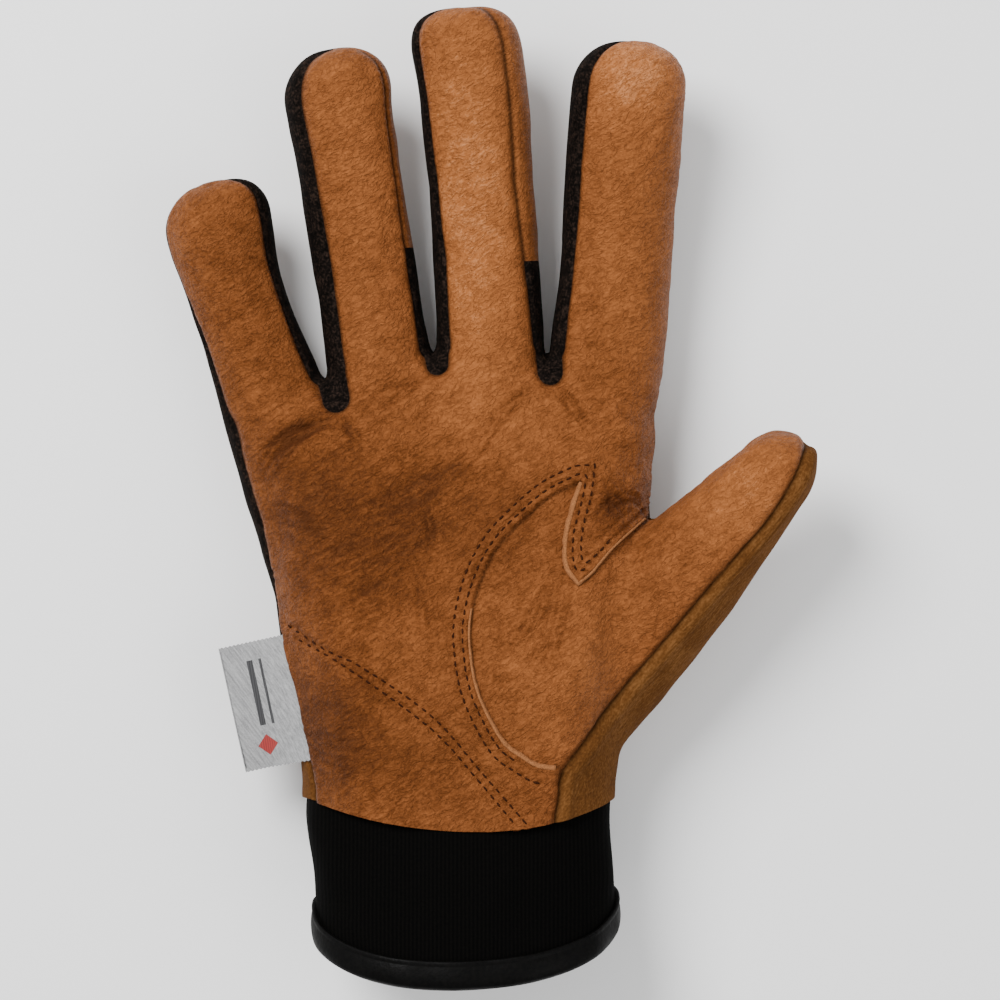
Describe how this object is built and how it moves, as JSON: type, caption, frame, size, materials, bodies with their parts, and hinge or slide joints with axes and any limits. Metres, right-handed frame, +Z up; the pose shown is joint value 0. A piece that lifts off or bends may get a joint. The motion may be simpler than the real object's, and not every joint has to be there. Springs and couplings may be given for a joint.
{
  "type": "work glove",
  "caption": "Insulated leather work glove for the right hand, with a knit back, a set-in thumb and a short rib-knit cuff; fingers, thumb and wrist flex.",
  "frame": {"origin": "the centre of the glove's footprint, on the surface that it lies on, palm up", "axes": "+Z up, out of the palm; +Y from the cuff to the fingertips; +X towards the thumb"},
  "size_m": [0.1702, 0.2596, 0.0555],
  "materials": {
    "palm_leather": "tan grained pigskin, matt",
    "back_knit": "tan ribbed knit",
    "stretch_fabric": "black stretch fabric",
    "cuff_knit": "black fine rib knit",
    "binding": "black smooth leather binding",
    "fleece_lining": "dark brushed fleece over insulation",
    "reinforcement": "split leather",
    "thread": "dark brown thread",
    "label_satin": "grey satin"
  },
  "bodies": {
    "hand": {"palm_leather": "palm_leather", "thumb_panel": "palm_leather", "back_panel": "back_knit", "palm_reinforcement": "reinforcement", "hand_lining": "fleece_lining", "thumb_seam_stitching": "thread", "heel_stitching": "thread", "fork_strips": "stretch_fabric", "little_knuckle_crease": "palm_leather", "ring_knuckle_crease": "palm_leather", "middle_knuckle_crease": "palm_leather", "index_knuckle_crease": "palm_leather"},
    "little_root": {"little_root_front": "palm_leather", "little_root_back": "back_knit", "little_root_sides": "stretch_fabric", "little_root_lining": "fleece_lining", "little_bend_crease": "palm_leather"},
    "little_end": {"little_end_front": "palm_leather", "little_end_back": "back_knit", "little_end_sides": "stretch_fabric", "little_end_lining": "fleece_lining"},
    "ring_root": {"ring_root_front": "palm_leather", "ring_root_back": "back_knit", "ring_root_sides": "stretch_fabric", "ring_root_lining": "fleece_lining", "ring_bend_crease": "palm_leather"},
    "ring_end": {"ring_end_front": "palm_leather", "ring_end_back": "back_knit", "ring_end_sides": "stretch_fabric", "ring_end_lining": "fleece_lining", "ring_end_side_leather": "palm_leather"},
    "middle_root": {"middle_root_front": "palm_leather", "middle_root_back": "back_knit", "middle_root_sides": "stretch_fabric", "middle_root_lining": "fleece_lining", "middle_bend_crease": "palm_leather"},
    "middle_end": {"middle_end_front": "palm_leather", "middle_end_back": "back_knit", "middle_end_sides": "stretch_fabric", "middle_end_lining": "fleece_lining", "middle_end_side_leather": "palm_leather"},
    "index_root": {"index_root_front": "palm_leather", "index_root_back": "back_knit", "index_root_sides": "stretch_fabric", "index_root_lining": "fleece_lining", "index_bend_crease": "palm_leather"},
    "index_end": {"index_end_front": "palm_leather", "index_end_back": "back_knit", "index_end_sides": "stretch_fabric", "index_end_lining": "fleece_lining"},
    "thumb": {"thumb_front": "palm_leather", "thumb_back": "back_knit", "thumb_lining": "fleece_lining", "thumb_crease": "palm_leather"},
    "cuff": {"cuff_sleeve": "cuff_knit", "cuff_lining": "fleece_lining", "cuff_binding": "binding", "cuff_crease": "cuff_knit"},
    "label": {"label": "label_satin"}
  },
  "joints": [
    {"name": "little_knuckle", "type": "hinge", "parent": "hand", "child": "little_root", "pos_m": [-0.0567, 0.0248, 0.01655], "axis": [0.9479, 0.2671, 0.1736], "range_deg": [0, 75], "deforming": ["little_knuckle_crease"]},
    {"name": "little_bend", "type": "hinge", "parent": "little_root", "child": "little_end", "pos_m": [-0.06331, 0.04786, 0.01718], "axis": [0.9479, 0.2671, 0.1736], "range_deg": [0, 65], "deforming": ["little_bend_crease"]},
    {"name": "ring_knuckle", "type": "hinge", "parent": "hand", "child": "ring_root", "pos_m": [-0.0295, 0.0313, 0.01655], "axis": [0.9881, 0.137, 0.0697], "range_deg": [0, 75], "deforming": ["ring_knuckle_crease"]},
    {"name": "ring_bend", "type": "hinge", "parent": "ring_root", "child": "ring_end", "pos_m": [-0.03409, 0.06397, 0.01741], "axis": [0.9881, 0.137, 0.0697], "range_deg": [0, 65], "deforming": ["ring_bend_crease"]},
    {"name": "middle_knuckle", "type": "hinge", "parent": "hand", "child": "middle_root", "pos_m": [-0.0003, 0.0348, 0.01655], "axis": [0.9976, 0.0698, 0], "range_deg": [0, 75], "deforming": ["middle_knuckle_crease"]},
    {"name": "middle_bend", "type": "hinge", "parent": "middle_root", "child": "middle_end", "pos_m": [-0.00274, 0.0697, 0.01747], "axis": [0.9976, 0.0698, 0], "range_deg": [0, 65], "deforming": ["middle_bend_crease"]},
    {"name": "index_knuckle", "type": "hinge", "parent": "hand", "child": "index_root", "pos_m": [0.0291, 0.0338, 0.01655], "axis": [0.9919, -0.0718, -0.1045], "range_deg": [0, 75], "deforming": ["index_knuckle_crease"]},
    {"name": "index_bend", "type": "hinge", "parent": "index_root", "child": "index_end", "pos_m": [0.03154, 0.0662, 0.0174], "axis": [0.9919, -0.0718, -0.1045], "range_deg": [0, 65], "deforming": ["index_bend_crease"]},
    {"name": "thumb_flex", "type": "hinge", "parent": "hand", "child": "thumb", "pos_m": [0.0509, -0.0174, 0.02695], "axis": [0.2425, -0.4302, 0.8695], "range_deg": [0, 40], "deforming": ["thumb_crease"]},
    {"name": "wrist_flex", "type": "hinge", "parent": "hand", "child": "cuff", "pos_m": [-0.0017, -0.0792, 0.02545], "axis": [-1, 0, 0], "range_deg": [-25, 25], "deforming": ["cuff_crease"]},
    {"name": "label_flap", "type": "hinge", "parent": "hand", "child": "label", "pos_m": [-0.056, -0.0522, 0.02295], "axis": [0.1478, -0.989, 0], "range_deg": [-70, 70], "stiffness_Nm_per_rad": 0.002}
  ]
}
